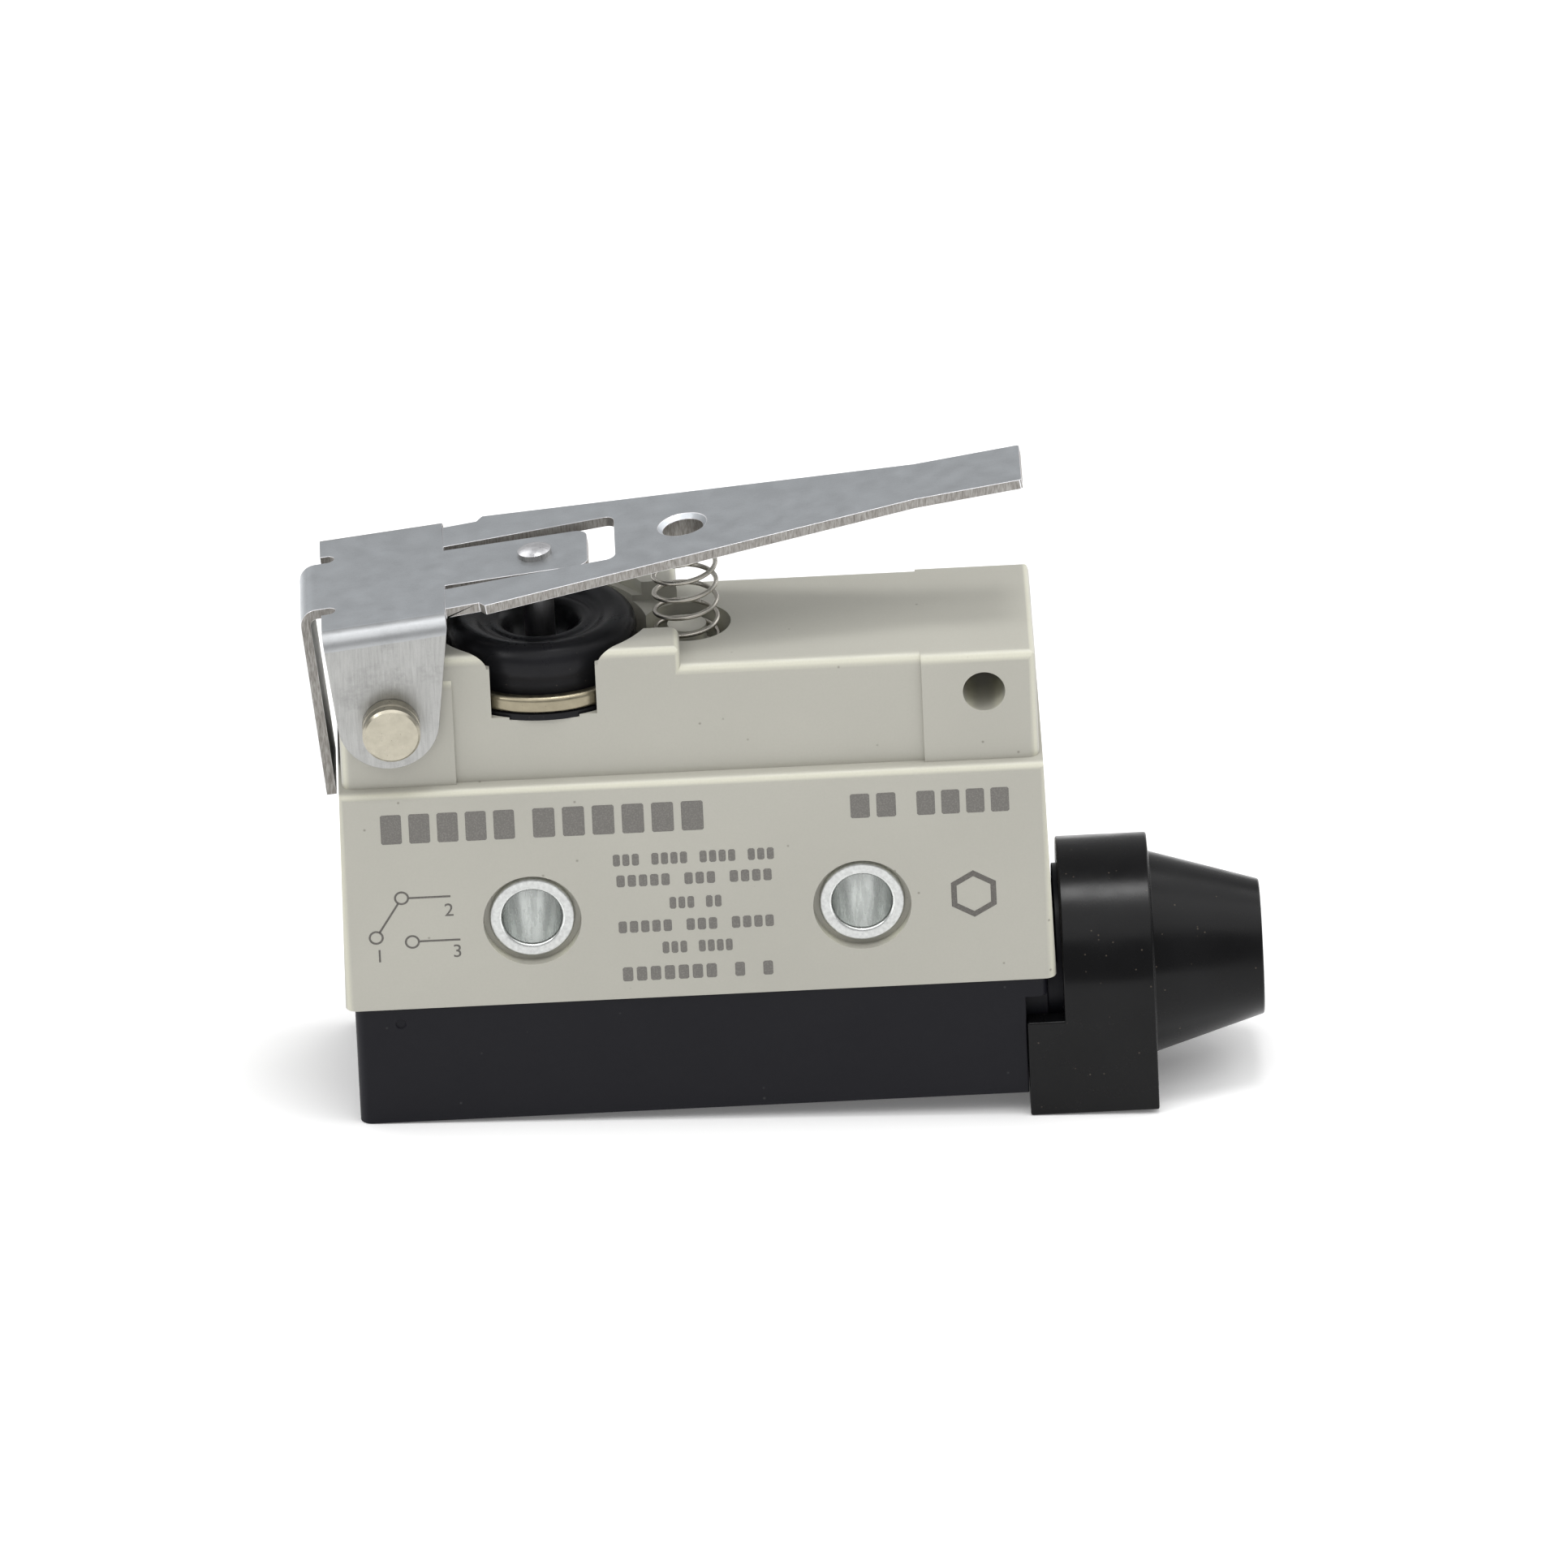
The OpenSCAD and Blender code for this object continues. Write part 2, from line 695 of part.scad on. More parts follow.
module moving_blade() {
    color(brass) difference() {
        block([blade_hinge_x - 0.3, -3.5, blade_low], [blade_end, 3.5, blade_low + blade_sheet]);
        block([-6.0, -1.6, 0], [3.5, 1.6, 20]);
        rod_z(contact_x, 0, 0.6, 0, 20);
    }
    // knife edge that rolls in the common terminal's groove
    color(brass) rod_y(blade_hinge_x, blade_low, 0.25, -1.9, 1.9);
}

// Bowed overtravel leaf that stands on the blade under the plunger's foot
module snap_spring() {
    bow_half = 4.0;
    base = blade_low + blade_sheet + 0.02;
    rise = foot_low - 0.1 - base;
    bow_r = (bow_half * bow_half + rise * rise) / (2 * rise);
    color(brass) intersection() {
        difference() {
            rod_y(plunger_x, base + rise - bow_r, bow_r, -1.4, 1.4);
            rod_y(plunger_x, base + rise - bow_r, bow_r - 0.2, -2, 2);
        }
        block([plunger_x - 6, -3, base], [plunger_x + 6, 3, base + 5]);
    }
}

module moving_contact() {
    color(silver) {
        rod_z(contact_x, 0, 0.6, blade_low - 0.55, blade_low + blade_sheet + 0.55);
        rod_z(contact_x, 0, moving_contact_radius, blade_low - 0.55, blade_low);
        rod_z(contact_x, 0, moving_contact_radius, blade_low + blade_sheet, blade_low + blade_sheet + 0.55);
    }
}

module fixed_contacts() {
    color(silver) {
        rod_z(contact_x, 0, 1.3, blade_low + blade_sheet + 0.6, nc_strip_low);
        rod_z(contact_x, 0, 1.3, no_strip_low + strip, 7.3);
    }
}

module terminal_screws() {
    head_low = -9.0;
    head_high = -7.2;
    color(nickel) for (x = screw_x) difference() {
        union() {
            rod_z(x, 0, terminal_screw_radius, head_high - eps, -3.4);
            rod_z(x, 0, 2.6, head_low, head_high);
        }
        block([x - 3, -0.35, head_low - 1], [x + 3, 0.35, head_low + 0.8]);
    }
}

module terminal_clamps() {
    color(nickel) for (x = screw_x) difference() {
        block([x - 2.9, -3.0, -7.2], [x + 2.9, 3.0, -6.4]);
        rod_z(x, 0, terminal_screw_radius, -8, -6);
    }
}

module cover_screws() {
    head_low = cover_bottom + 0.6;
    head_high = cover_bottom + 2.8;
    color(nickel) for (side = [-1, 1]) difference() {
        union() {
            rod_z(side * bushing_x, 0, cover_screw_radius, head_high - eps, -3.6);
            rod_z(side * bushing_x, 0, 2.7, head_low, head_high);
        }
        for (turn = [0, 90])
            translate([side * bushing_x, 0, head_low]) rotate([0, 0, turn])
                cube([3.4, 0.8, 2.4], center = true);
    }
}

housing();
terminal_cover();
cable_cap();
mounting_bushings();
lever();
lever_rivet();
pivot_pin();
return_spring();
plunger_stem();
plunger_foot();
plunger_boot();
boot_retainer_ring();
boot_gasket();
guide_bush();
contact_carrier();
common_terminal();
normally_closed_terminal();
normally_open_terminal();
moving_blade();
snap_spring();
moving_contact();
fixed_contacts();
terminal_screws();
terminal_clamps();
housing_gasket();
cover_screws();
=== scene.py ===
"""Looks of a compact limit switch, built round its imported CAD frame. Everything is in metres."""

import json
import math

import bmesh
import bpy
from mathutils import Matrix, Vector


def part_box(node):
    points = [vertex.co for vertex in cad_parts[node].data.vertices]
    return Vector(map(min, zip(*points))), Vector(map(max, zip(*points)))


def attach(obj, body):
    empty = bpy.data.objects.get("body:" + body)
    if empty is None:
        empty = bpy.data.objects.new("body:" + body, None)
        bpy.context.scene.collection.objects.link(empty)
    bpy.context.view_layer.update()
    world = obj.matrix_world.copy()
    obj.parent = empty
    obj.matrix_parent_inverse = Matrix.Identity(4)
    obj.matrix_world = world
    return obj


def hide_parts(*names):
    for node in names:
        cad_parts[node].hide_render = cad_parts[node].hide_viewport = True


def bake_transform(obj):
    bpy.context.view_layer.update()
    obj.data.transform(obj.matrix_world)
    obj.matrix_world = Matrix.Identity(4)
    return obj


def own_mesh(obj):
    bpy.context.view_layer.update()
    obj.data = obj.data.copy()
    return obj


MM = 0.001
TAU = 2 * math.pi

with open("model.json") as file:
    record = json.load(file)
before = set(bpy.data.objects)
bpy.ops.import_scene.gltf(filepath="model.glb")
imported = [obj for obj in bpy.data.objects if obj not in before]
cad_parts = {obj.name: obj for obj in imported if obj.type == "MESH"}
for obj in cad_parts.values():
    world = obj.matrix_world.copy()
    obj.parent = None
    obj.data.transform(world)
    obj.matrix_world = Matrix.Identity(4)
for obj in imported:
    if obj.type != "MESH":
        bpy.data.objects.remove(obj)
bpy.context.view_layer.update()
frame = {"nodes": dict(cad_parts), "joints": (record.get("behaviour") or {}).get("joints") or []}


def joint(name):
    """The record's row for one joint."""
    return next(row for row in frame["joints"] if row["name"] == name)


# ---- places taken from the frame ----

stem_low, stem_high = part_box("plunger_stem")
spring_low, spring_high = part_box("return_spring")
cover_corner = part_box("terminal_cover")[0]
cap_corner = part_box("cable_cap")[0]
pivot = Vector(joint("lever_swing")["pos_m"])
stem_x = (stem_low.x + stem_high.x) / 2
spring_x = (spring_low.x + spring_high.x) / 2
front_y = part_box("housing")[0].y

# The lever's base leans by the first angle, and its arm by the second one more.
LEVER_SLOPE = math.radians(6.4)
ARM_SLOPE = math.radians(2.1)


# ---- mesh helpers ----

def add_object(name, bm, smooth=True):
    """Turns a bmesh into a linked object with outward faces."""
    bmesh.ops.recalc_face_normals(bm, faces=bm.faces)
    mesh = bpy.data.meshes.new(name)
    bm.to_mesh(mesh)
    bm.free()
    for polygon in mesh.polygons:
        polygon.use_smooth = smooth
    piece = bpy.data.objects.new(name, mesh)
    bpy.context.scene.collection.objects.link(piece)
    return piece


def paint(piece, *materials):
    """Gives an object these materials in place of what it has."""
    piece.data.materials.clear()
    for material in materials:
        piece.data.materials.append(material)


def join_rings(bm, rings, closed_ends):
    """Bridges a row of equal rings of vertices with quads."""
    for lower, upper in zip(rings, rings[1:]):
        for i in range(len(lower)):
            j = (i + 1) % len(lower)
            bm.faces.new((lower[i], lower[j], upper[j], upper[i]))
    if closed_ends:
        bm.faces.new(list(reversed(rings[0])))
        bm.faces.new(rings[-1])


def tube(name, path, radius, sides=12, end_share=0.8):
    """Round wire along a list of points, with both ends closed and a little thinner."""
    bm = bmesh.new()
    rings = []
    up = Vector((0, 0, 1))
    for i, point in enumerate(path):
        along = (path[min(i + 1, len(path) - 1)] - path[max(i - 1, 0)]).normalized()
        side = along.cross(up).normalized()
        top = side.cross(along)
        reach = radius * (end_share if i in (0, len(path) - 1) else 1)
        angles = [TAU * k / sides for k in range(sides)]
        rings.append([bm.verts.new(point + reach * (math.cos(a) * side + math.sin(a) * top))
                      for a in angles])
    join_rings(bm, rings, True)
    return add_object(name, bm)


def lathe(name, outline, centre_x, sides=128):
    """Closed outline of radius and height, in mm, turned round an upright axis."""
    bm = bmesh.new()
    rings = []
    for k in range(sides):
        a = TAU * k / sides
        x, y = MM * math.cos(a), MM * math.sin(a)
        rings.append([bm.verts.new((centre_x + r * x, r * y, z * MM)) for r, z in outline])
    rings.append(rings[0])
    join_rings(bm, rings, False)
    return add_object(name, bm)


def smooth_outline(points, steps):
    """Closed Catmull-Rom curve through a few points, with so many steps between two of them."""
    out = []
    count = len(points)
    for i in range(count):
        p0, p1, p2, p3 = (Vector(points[(i + k) % count]) for k in (-1, 0, 1, 2))
        for s in range(steps):
            t = s / steps
            bend = 2 * p0 - 5 * p1 + 4 * p2 - p3
            twist = 3 * p1 - 3 * p2 + p3 - p0
            out.append(0.5 * (2 * p1 + t * (p2 - p0) + t * t * bend + t ** 3 * twist))
    return out


WELD_DISTANCE = 0.002 * MM
FLAT_ANGLE = math.radians(0.4)
SHARP_ANGLE = math.radians(30)


def softened(node, width, segments=2, clamp=True):
    """A copy of a CAD node with its sharp edges rounded by up to width mm.

    The rounded faces take material index 1, and the others 0. A clamped rounding narrows
    everywhere until it fits the tightest place.
    """
    source = frame["nodes"][node]
    bm = bmesh.new()
    bm.from_mesh(source.data)
    bmesh.ops.remove_doubles(bm, verts=bm.verts, dist=WELD_DISTANCE)
    bmesh.ops.dissolve_limit(bm, angle_limit=FLAT_ANGLE, verts=bm.verts, edges=bm.edges)
    for face in bm.faces:
        face.material_index = 0
    raw = add_object("raw_" + node, bm)
    if "custom_normal" in raw.data.attributes:
        raw.data.attributes.remove(raw.data.attributes["custom_normal"])
    blank = bpy.data.materials.new("blank")
    paint(raw, blank, blank)
    bevel = raw.modifiers.new("bevel", "BEVEL")
    bevel.width = width * MM
    bevel.segments = segments
    bevel.limit_method = "ANGLE"
    bevel.angle_limit = SHARP_ANGLE
    bevel.harden_normals = True
    bevel.use_clamp_overlap = clamp
    bevel.material = 1
    shaped = raw.evaluated_get(bpy.context.evaluated_depsgraph_get())
    mesh = bpy.data.meshes.new_from_object(shaped)
    piece = bpy.data.objects.new(node + "_skin", mesh)
    bpy.context.scene.collection.objects.link(piece)
    bpy.data.objects.remove(raw)
    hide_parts(node)
    return piece


# ---- material helpers ----

class Finish:
    """One procedural material under construction. Its coordinates are in mm on the object."""

    def __init__(self, name, roughness=0.5, metallic=0.0, specular=0.5):
        self.material = bpy.data.materials.new(name)
        self.material.use_nodes = True
        self.nodes = self.material.node_tree.nodes
        self.links = self.material.node_tree.links
        self.shader = self.nodes["Principled BSDF"]
        self.set("Roughness", roughness)
        self.set("Metallic", metallic)
        self.set("Specular IOR Level", specular)
        place = self.nodes.new("ShaderNodeTexCoord")
        self.place = place.outputs["Object"]
        self.facing = place.outputs["Normal"]
        self.height = None

    def set(self, socket, value):
        self.shader.inputs[socket].default_value = value

    def join(self, output, socket):
        self.links.new(output, self.shader.inputs[socket])

    def mapped(self, stretch=(1, 1, 1), turn=(0, 0, 0)):
        """Coordinates in mm, divided by a stretch along each axis."""
        node = self.nodes.new("ShaderNodeMapping")
        node.inputs["Rotation"].default_value = turn
        node.inputs["Scale"].default_value = [1 / MM / s for s in stretch]
        self.links.new(self.place, node.inputs["Vector"])
        return node.outputs["Vector"]

    def noise(self, size, stretch=(1, 1, 1), detail=3, harsh=0.5, turn=(0, 0, 0), shift=0.0):
        """Noise from 0 to 1 whose features are about size mm across."""
        node = self.nodes.new("ShaderNodeTexNoise")
        node.noise_dimensions = "4D"
        node.inputs["W"].default_value = shift
        node.inputs["Scale"].default_value = 1 / size
        node.inputs["Detail"].default_value = detail
        node.inputs["Roughness"].default_value = harsh
        self.links.new(self.mapped(stretch, turn), node.inputs["Vector"])
        return node.outputs["Fac"]

    def cells(self, size, chance):
        """Small round specks: 1 in the middle of a share of the cells, 0 elsewhere."""
        node = self.nodes.new("ShaderNodeTexVoronoi")
        node.inputs["Scale"].default_value = 1 / size
        self.links.new(self.mapped(), node.inputs["Vector"])
        core, rim = 0.05, 0.16
        dot = self.ramp(node.outputs["Distance"], (core, 1), (rim, 0))
        pick = self.nodes.new("ShaderNodeSeparateColor")
        self.links.new(node.outputs["Color"], pick.inputs["Color"])
        chosen = self.ramp(pick.outputs["Red"], (1 - chance - 0.01, 0), (1 - chance, 1))
        return self.maths("MULTIPLY", dot, chosen)

    def maths(self, operation, a, b):
        node = self.nodes.new("ShaderNodeMath")
        node.operation = operation
        for socket, value in zip(node.inputs, (a, b)):
            if isinstance(value, (int, float)):
                socket.default_value = value
            else:
                self.links.new(value, socket)
        return node.outputs["Value"]

    def ramp(self, factor, *stops):
        """Maps 0..1 through stops of (place, grey or colour)."""
        node = self.nodes.new("ShaderNodeValToRGB")
        elements = node.color_ramp.elements
        while len(elements) < len(stops):
            elements.new(0.5)
        for element, (place, value) in zip(elements, stops):
            element.position = place
            element.color = (*value, 1) if isinstance(value, tuple) else (value, value, value, 1)
        self.links.new(factor, node.inputs["Fac"])
        return node.outputs["Color"]

    def mix(self, factor, a, b):
        """Colour a where factor is 0, and b where it is 1."""
        node = self.nodes.new("ShaderNodeMix")
        node.data_type = "RGBA"
        for socket, value in ((node.inputs[0], factor), (node.inputs[6], a), (node.inputs[7], b)):
            if isinstance(value, tuple):
                socket.default_value = (*value, 1)
            elif isinstance(value, (int, float)):
                socket.default_value = value
            else:
                self.links.new(value, socket)
        return node.outputs[2]

    def bump(self, height, depth):
        """Adds relief of about depth mm."""
        node = self.nodes.new("ShaderNodeBump")
        node.inputs["Strength"].default_value = 1.0
        node.inputs["Distance"].default_value = depth * MM
        self.links.new(height, node.inputs["Height"])
        if self.height is not None:
            self.links.new(self.height, node.inputs["Normal"])
        self.height = node.outputs["Normal"]
        self.join(self.height, "Normal")

    def parts(self, vector):
        """The three numbers of a vector."""
        node = self.nodes.new("ShaderNodeSeparateXYZ")
        self.links.new(vector, node.inputs["Vector"])
        return node.outputs

    def edges(self, start=0.03, full=0.22):
        """1 where the surface turns between the object's main directions, as on a rounded edge."""
        x, y, z = (self.maths("ABSOLUTE", part, 0) for part in self.parts(self.facing))
        flat = self.maths("MAXIMUM", self.maths("MAXIMUM", x, y), z)
        return self.ramp(self.maths("SUBTRACT", 1.0, flat), (start, 0.0), (full, 1.0))


def scaled(colour, factor):
    return tuple(min(1.0, c * factor) for c in colour)


# ---- materials ----

LINT_COLOUR = (0.16, 0.13, 0.10)
SINK_DEPTH = 0.06


def moulded_plastic(name, colour, edge, fleck, roughness, specular, grain_depth):
    """Moulded plastic with a fine spark grain, faint flow clouds and dark flecks, and paler
    rounded edges that are a painted highlight.
    """
    f = Finish(name, specular=specular)
    cloudy = f.noise(14, detail=4)
    clouds = f.ramp(cloudy, (0.3, scaled(colour, 0.965)), (0.7, scaled(colour, 1.035)))
    grain = f.noise(0.16, detail=2)
    # Rounded edges take the paler edge colour as a painted highlight.
    wear_and_edge_highlight = f.mix(f.edges(), clouds, edge)
    tinted = f.mix(f.ramp(grain, (0.35, 0.0), (0.75, 0.10)), wear_and_edge_highlight, scaled(colour, 0.7))
    specks = f.maths("MULTIPLY", f.cells(0.9, 0.04), 0.6)
    f.join(f.mix(specks, tinted, fleck), "Base Color")
    rough = f.ramp(f.noise(3.5, detail=4), (0.3, roughness - 0.05), (0.75, roughness + 0.08))
    f.join(rough, "Roughness")
    f.bump(grain, grain_depth)
    f.bump(f.noise(5, detail=3), grain_depth * 1.6)
    return f.material


def black_rubber(name, colour, roughness, specular, dust, grain_depth):
    """Moulded rubber with bloom and handled patches, a fine grain, slight sinks and dust."""
    f = Finish(name, specular=specular)
    bloom = f.ramp(f.noise(6, detail=5, harsh=0.6), (0.4, colour), (0.8, scaled(colour, 1.9)))
    lint = f.maths("MULTIPLY", f.cells(0.55, 0.12), dust)
    f.join(f.mix(lint, bloom, LINT_COLOUR), "Base Color")
    handled = f.noise(5, detail=5)
    f.join(f.ramp(handled, (0.35, roughness - 0.06), (0.7, roughness + 0.12)), "Roughness")
    f.bump(f.noise(0.22, detail=3), grain_depth)
    f.bump(f.noise(7.0, detail=1), SINK_DEPTH)
    return f.material


def rolled_steel(name, colour, roughness, grain_along, scratch=0.3, stain=0.1, streak=0.05):
    """Rolled sheet or wire with fine grain and streaks, cloudy stains and a few scratches.

    grain_along stretches the streaks along each axis.
    """
    f = Finish(name, metallic=1.0)
    streaks = f.noise(0.12, stretch=grain_along, detail=3, harsh=0.6)
    clouds = f.noise(2.4, detail=6, harsh=0.7, shift=3.0)
    grain = f.noise(0.09, detail=2, shift=5.0)
    tone = f.ramp(streaks, (0.3, scaled(colour, 1 - streak)), (0.7, scaled(colour, 1 + streak)))
    speckled = f.mix(f.ramp(grain, (0.5, 0.0), (0.72, 0.22)), tone, scaled(colour, 0.7))
    dull = f.ramp(clouds, (0.52, 0.0), (0.72, stain))
    toned = f.mix(dull, speckled, scaled(colour, 0.55))
    long_marks = tuple(s * 1.8 for s in grain_along)
    marks = f.noise(0.07, stretch=long_marks, detail=2, harsh=0.8, turn=(0.2, 0.1, 0.5))
    fine = f.ramp(marks, (0.68, 0.0), (0.74, scratch))
    f.join(f.mix(fine, toned, scaled(colour, 1.3)), "Base Color")
    level = f.ramp(f.noise(1.6, detail=5), (0.3, roughness - 0.04), (0.75, roughness + 0.06))
    f.join(level, "Roughness")
    f.bump(streaks, 0.0012)
    f.bump(grain, 0.0008)
    return f.material


def sheared_steel(name):
    """Cut edge of the sheet: warm grey, with torn streaks across the thickness."""
    f = Finish(name, metallic=0.75)
    tears = f.noise(0.15, stretch=(0.8, 0.8, 5), detail=3, harsh=0.6)
    dark, middle, bright = (0.21, 0.195, 0.18), (0.33, 0.315, 0.295), (0.46, 0.45, 0.43)
    f.join(f.ramp(tears, (0.3, dark), (0.5, middle), (0.72, bright)), "Base Color")
    f.join(f.ramp(tears, (0.3, 0.6), (0.8, 0.45)), "Roughness")
    f.bump(tears, 0.005)
    return f.material


def riveted_steel(name, crown, side):
    """Rivet head with hammered dents and side streaks, with a painted highlight on its upward
    crown and painted shade on its side.
    """
    f = Finish(name, metallic=1.0)
    upward = f.maths("ABSOLUTE", f.parts(f.facing)[2], 0)
    streaks = f.noise(0.14, stretch=(1, 1, 6), detail=3, harsh=0.6)
    wall = f.ramp(streaks, (0.3, scaled(side, 0.7)), (0.7, scaled(side, 1.35)))
    dents = f.noise(0.3, detail=4, harsh=0.6)
    top = f.ramp(dents, (0.3, scaled(crown, 0.85)), (0.7, scaled(crown, 1.1)))
    # Upward faces take the crown colour as a painted highlight, and the others the darker side
    # colour as painted shade.
    f.join(f.mix(f.ramp(upward, (0.55, 0.0), (0.85, 1.0)), wall, top), "Base Color")
    f.join(f.ramp(dents, (0.3, 0.26), (0.75, 0.38)), "Roughness")
    f.bump(dents, 0.01)
    return f.material


def plated(name, colour, roughness, pit=0.5):
    """Plated metal with turning marks, small pits and cloudy patches."""
    f = Finish(name, metallic=1.0)
    patches = f.noise(0.9, detail=5, harsh=0.6)
    tone = f.ramp(patches, (0.3, scaled(colour, 0.86)), (0.7, scaled(colour, 1.06)))
    pits = f.maths("MULTIPLY", f.cells(0.35, 0.22), pit)
    f.join(f.mix(pits, tone, scaled(colour, 0.35)), "Base Color")
    wear_and_edge_highlight = f.noise(0.5, detail=4, shift=1.0)
    f.join(f.ramp(wear_and_edge_highlight, (0.3, roughness - 0.05), (0.75, roughness + 0.12)), "Roughness")
    f.bump(f.noise(0.25, detail=4), 0.004)
    return f.material


def zinc_tube(name, bore, flange, centre, bore_radius):
    """Zinc-plated bushings: a bore with draw marks, painted paler than the rolled flange as
    painted light inside the bore, and a rougher flange.

    The two bores run along Y, centre mm to each side of the origin.
    """
    f = Finish(name, metallic=1.0)
    x, y, z = f.parts(f.mapped())
    across = f.maths("SUBTRACT", f.maths("ABSOLUTE", x, 0), centre)
    square = f.maths("ADD", f.maths("POWER", across, 2), f.maths("POWER", z, 2))
    outside = f.maths("GREATER_THAN", square, bore_radius ** 2)
    draw = f.noise(0.35, stretch=(1, 12, 1), detail=4, harsh=0.65)
    inner = f.ramp(draw, (0.3, scaled(bore, 0.84)), (0.52, bore), (0.75, scaled(bore, 1.05)))
    rolled = f.noise(0.3, detail=4, harsh=0.6)
    outer = f.ramp(rolled, (0.3, scaled(flange, 0.8)), (0.7, scaled(flange, 1.12)))
    # Inside the bore radius the paler bore colour is painted light.
    f.join(f.mix(outside, inner, outer), "Base Color")
    flange_roughness = (0.4, 0.4, 0.4)
    f.join(f.mix(outside, f.ramp(draw, (0.3, 0.32), (0.75, 0.2)), flange_roughness), "Roughness")
    f.bump(draw, 0.006)
    return f.material


def phenolic_board(name):
    """Brown moulded insulator with mottled filler."""
    f = Finish(name, specular=0.4)
    mottle = f.noise(0.6, detail=5, harsh=0.7)
    dark, pale = (0.16, 0.075, 0.035), (0.30, 0.155, 0.075)
    f.join(f.ramp(mottle, (0.3, dark), (0.7, pale)), "Base Color")
    f.join(f.ramp(mottle, (0.3, 0.6), (0.8, 0.45)), "Roughness")
    f.bump(mottle, 0.006)
    return f.material


def pad_ink(name, colour):
    """Pad-printed ink with a fine screen pattern and thin spots."""
    f = Finish(name, specular=0.3)
    screen = f.noise(0.12, detail=1)
    f.join(f.ramp(screen, (0.3, scaled(colour, 1.3)), (0.55, scaled(colour, 0.95))), "Base Color")
    f.join(f.ramp(screen, (0.35, 0.62), (0.6, 0.52)), "Roughness")
    f.bump(screen, 0.0015)
    return f.material


HOLE_OFFSET = 12.7
BORE_RADIUS = 2.5
ALONG_ARM = (6, 1, 4)
DOWN_EAR = (1, 1, 16)

# The paler edge colours of both plastics are painted highlights on their rounded edges.
case_plastic = moulded_plastic(
    "case_plastic", colour=(0.432, 0.423, 0.372), edge=(0.600, 0.590, 0.490),
    fleck=(0.12, 0.105, 0.08), roughness=0.38, specular=0.5, grain_depth=0.003)
base_plastic = moulded_plastic(
    "base_plastic", colour=(0.0078, 0.0078, 0.0110), edge=(0.012, 0.012, 0.016),
    fleck=(0.05, 0.05, 0.05), roughness=0.40, specular=0.16, grain_depth=0.003)
cap_rubber = black_rubber(
    "cap_rubber", colour=(0.0028, 0.0028, 0.0032),
    roughness=0.24, specular=0.20, dust=0.45, grain_depth=0.0015)
boot_rubber = black_rubber(
    "boot_rubber", colour=(0.0085, 0.0085, 0.0098),
    roughness=0.28, specular=0.13, dust=0.2, grain_depth=0.0012)
lever_steel = rolled_steel(
    "lever_steel", (0.56, 0.585, 0.61), 0.43, ALONG_ARM, stain=0.14, streak=0.025)
# The fold takes a darker copy of the lever's steel: painted shade that dims the fold's highlight.
fold_steel_shaded = rolled_steel(
    "fold_steel_shaded", (0.44, 0.45, 0.46), 0.44, ALONG_ARM, stain=0.3, streak=0.025)
# The ears take a darker copy of the lever's steel as painted shade, over their real streaks,
# stains and scratches.
ear_steel_shaded = rolled_steel(
    "ear_steel_shaded", (0.41, 0.41, 0.40), 0.42, DOWN_EAR, scratch=0.6, stain=0.6, streak=0.12)
# The lever's rounded rim takes a bright steel: a painted highlight.
rim_steel_highlight = rolled_steel(
    "rim_steel_highlight", (0.86, 0.86, 0.88), 0.34, ALONG_ARM, scratch=0.2, stain=0.3)
lever_edge = sheared_steel("lever_edge")
spring_steel = rolled_steel(
    "spring_steel", (0.50, 0.475, 0.425), 0.28, (4, 4, 1), scratch=0.2, stain=0.2)
stem_steel = rolled_steel(
    "stem_steel", (0.46, 0.46, 0.47), 0.34, (1, 1, 6), scratch=0.2, stain=0.3)
rivet_steel = riveted_steel("rivet_steel", crown=(0.80, 0.80, 0.82), side=(0.28, 0.27, 0.26))
nickel = plated("nickel", (0.46, 0.43, 0.35), 0.30)
# The retainer ring takes a darker copy of the nickel: painted shade.
ring_nickel_shaded = plated("ring_nickel_shaded", (0.32, 0.285, 0.205), 0.34)
brass = plated("brass", (0.80, 0.60, 0.28), 0.30, pit=0.3)
silver = plated("silver", (0.88, 0.87, 0.85), 0.24, pit=0.2)
zinc = zinc_tube("zinc", (0.76, 0.78, 0.765), (0.60, 0.61, 0.60), HOLE_OFFSET, BORE_RADIUS)
phenolic = phenolic_board("phenolic")
ink = pad_ink("ink", (0.125, 0.118, 0.108))
pale_ink = pad_ink("pale_ink", (0.165, 0.158, 0.146))


# ---- CAD nodes that keep their shape ----

NODE_FINISH = {
    "mounting_bushings": zinc,
    "lever_rivet": rivet_steel,
    "pivot_pin": nickel,
    "plunger_stem": stem_steel,
    "plunger_foot": phenolic,
    "boot_retainer_ring": ring_nickel_shaded,
    "boot_gasket": boot_rubber,
    "guide_bush": brass,
    "contact_carrier": phenolic,
    "common_terminal": brass,
    "normally_closed_terminal": brass,
    "normally_open_terminal": brass,
    "moving_blade": brass,
    "moving_contact": silver,
    "fixed_contacts": silver,
    "terminal_screws": nickel,
    "terminal_clamps": nickel,
    "housing_gasket": boot_rubber,
    "cover_screws": nickel,
}
for node_name, finish in NODE_FINISH.items():
    cad_object = frame["nodes"][node_name]
    if not cad_object.data.materials:
        cad_object.data.materials.append(finish)
    for slot_index in range(len(cad_object.material_slots)):
        cad_object.material_slots[slot_index].material = finish


# ---- moulded shells ----

# Clamping narrows the rounding to about 0.17 mm on the cap and 0.07 mm on the cover. On the
# housing, whose mesh has far shorter edges, it leaves 0.0002 mm, so its edges stay sharp.

def make_shell(node, finish, width, segments):
    """The case, lower case or cap in one finish, rounded by up to width mm."""
    piece = softened(node, width, segments)
    paint(piece, finish)
    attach(piece, "case")


